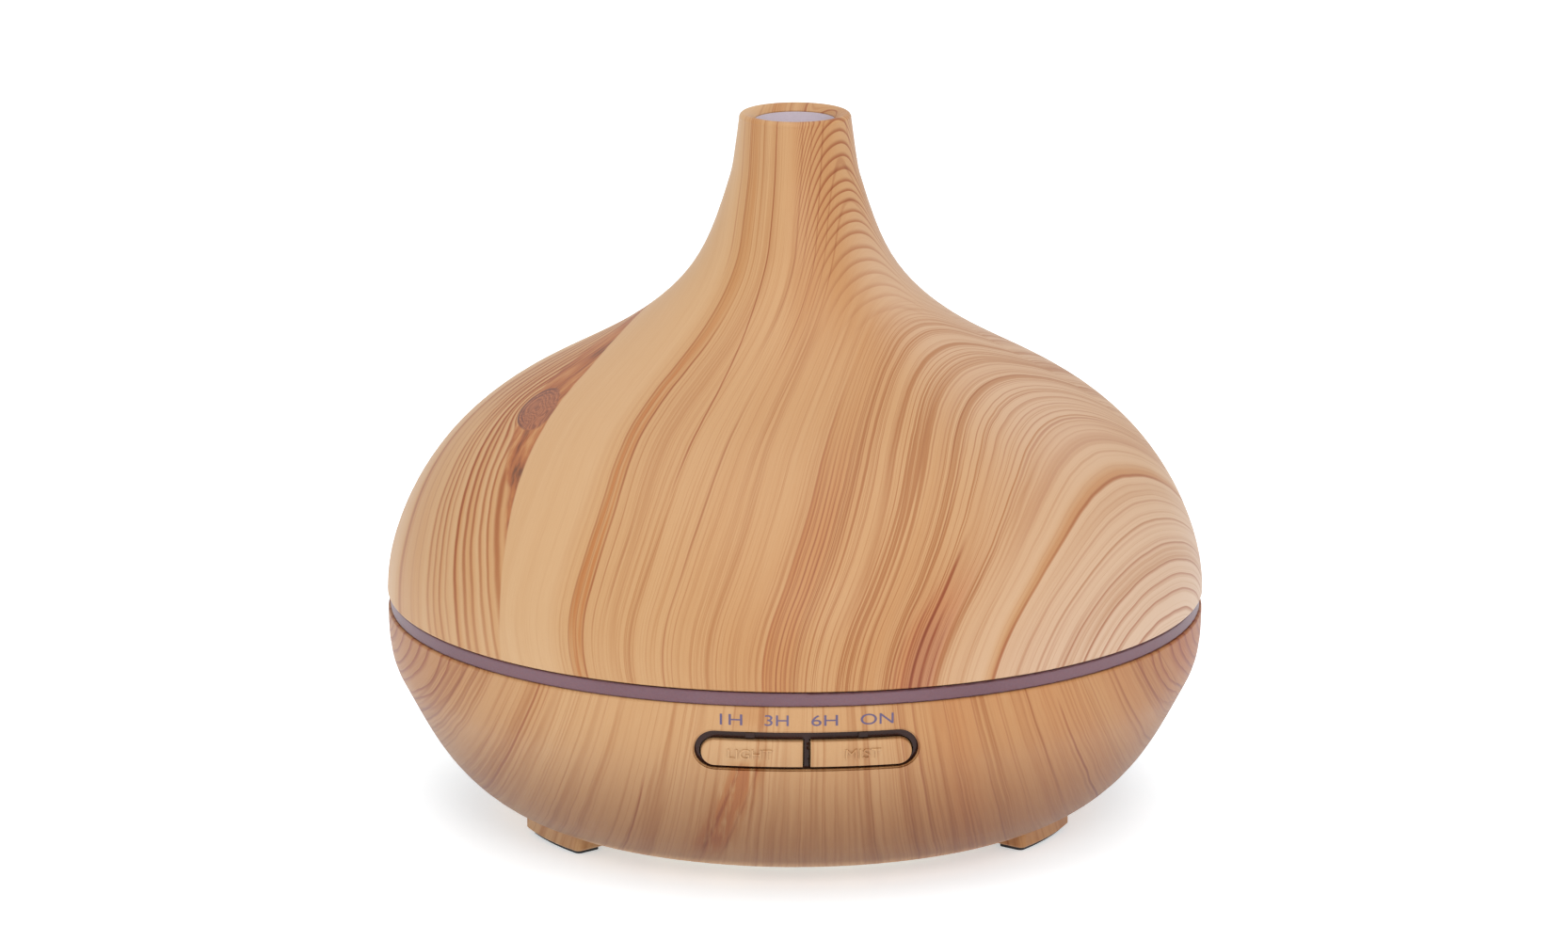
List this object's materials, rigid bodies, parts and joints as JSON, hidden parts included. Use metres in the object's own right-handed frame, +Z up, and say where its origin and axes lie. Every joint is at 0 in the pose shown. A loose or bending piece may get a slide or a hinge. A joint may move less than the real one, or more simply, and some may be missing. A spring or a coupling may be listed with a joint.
{
  "type": "essential oil diffuser",
  "caption": "Vase-shaped ultrasonic oil diffuser: lift-off wood-grain cover with a mist mouth, translucent light ring, bowl base with two buttons.",
  "frame": {"origin": "on the table under the centre of the body, level with the undersides of the rubber pads", "axes": "+Z up, -Y towards the buttons, +Y towards the power inlet"},
  "size_m": [0.168, 0.1682, 0.146],
  "materials": {
    "wood_grain_shell": "satin printed wood grain",
    "white_plastic": "satin",
    "tank_plastic": "satin translucent",
    "light_diffuser": "frosted translucent",
    "smoked_plastic": "smoked gloss",
    "bottom_plastic": "fine texture",
    "rubber": "matte",
    "silicone": "matte translucent",
    "steel": "zinc plated",
    "nickel": "nickel plated",
    "copper_wire": "enamelled wire",
    "aluminium": "extruded",
    "circuit_board": "solder mask",
    "white_board": "white solder mask",
    "black_plastic": "moulded",
    "ferrite": "sintered",
    "capacitor_sleeve": "heat-shrink sleeve",
    "lamp": "moulded lamp",
    "ceramic_disc": "ceramic with a metal face",
    "connector_plastic": "moulded nylon",
    "lead_sleeve": "soft vinyl"
  },
  "bodies": {
    "base": {"light_ring": "light_diffuser", "tank_gasket": "silicone", "water_tank": "tank_plastic", "air_duct": "tank_plastic", "air_outlet_cap": "white_plastic", "transducer_disc": "ceramic_disc", "disc_seal": "silicone", "disc_clamp": "white_plastic", "clamp_screws": "steel", "base_shell": "wood_grain_shell", "foot_pads": "rubber", "bottom_cover": "bottom_plastic", "bottom_screws": "steel", "button_bezel": "smoked_plastic", "control_board": "circuit_board", "panel_screws": "steel", "light_switch": "black_plastic", "mist_switch": "black_plastic", "indicator_lamps": "lamp", "indicator_light_guide": "light_diffuser", "led_board": "white_board", "ring_lamps": "lamp", "led_board_screws": "steel", "fan_frame": "black_plastic", "fan_gasket": "silicone", "fan_screws": "steel", "main_board": "circuit_board", "board_screws": "steel", "board_capacitors": "capacitor_sleeve", "board_inductors": "ferrite", "inductor_windings": "copper_wire", "heat_sink": "aluminium", "power_transistor": "black_plastic", "control_chip": "black_plastic", "board_connectors": "connector_plastic", "jack_body": "black_plastic", "jack_pin": "nickel", "fan_lead": "lead_sleeve", "power_lead": "lead_sleeve", "disc_lead": "lead_sleeve", "ring_light_lead": "lead_sleeve", "button_ribbon": "lead_sleeve"},
    "cover": {"top_cover": "wood_grain_shell", "mist_hood": "white_plastic", "cover_screws": "steel"},
    "light_button": {"light_button": "wood_grain_shell", "light_switch_plunger": "black_plastic"},
    "mist_button": {"mist_button": "wood_grain_shell", "mist_switch_plunger": "black_plastic"},
    "fan_rotor": {"fan_rotor": "black_plastic", "fan_shaft": "steel"}
  },
  "joints": [
    {"name": "cover_lift", "type": "slide", "parent": "base", "child": "cover", "axis": [0, 0, 1], "range_m": [0, 0.08]},
    {"name": "light_button_press", "type": "slide", "parent": "base", "child": "light_button", "axis": [0, 1, 0], "range_m": [0, 0.0008], "stiffness_N_per_m": 1500},
    {"name": "mist_button_press", "type": "slide", "parent": "base", "child": "mist_button", "axis": [0, 1, 0], "range_m": [0, 0.0008], "stiffness_N_per_m": 1500},
    {"name": "fan_spin", "type": "hinge", "parent": "base", "child": "fan_rotor", "pos_m": [0, 0.028, 0.012], "axis": [0, 0, 1], "continuous": true}
  ]
}
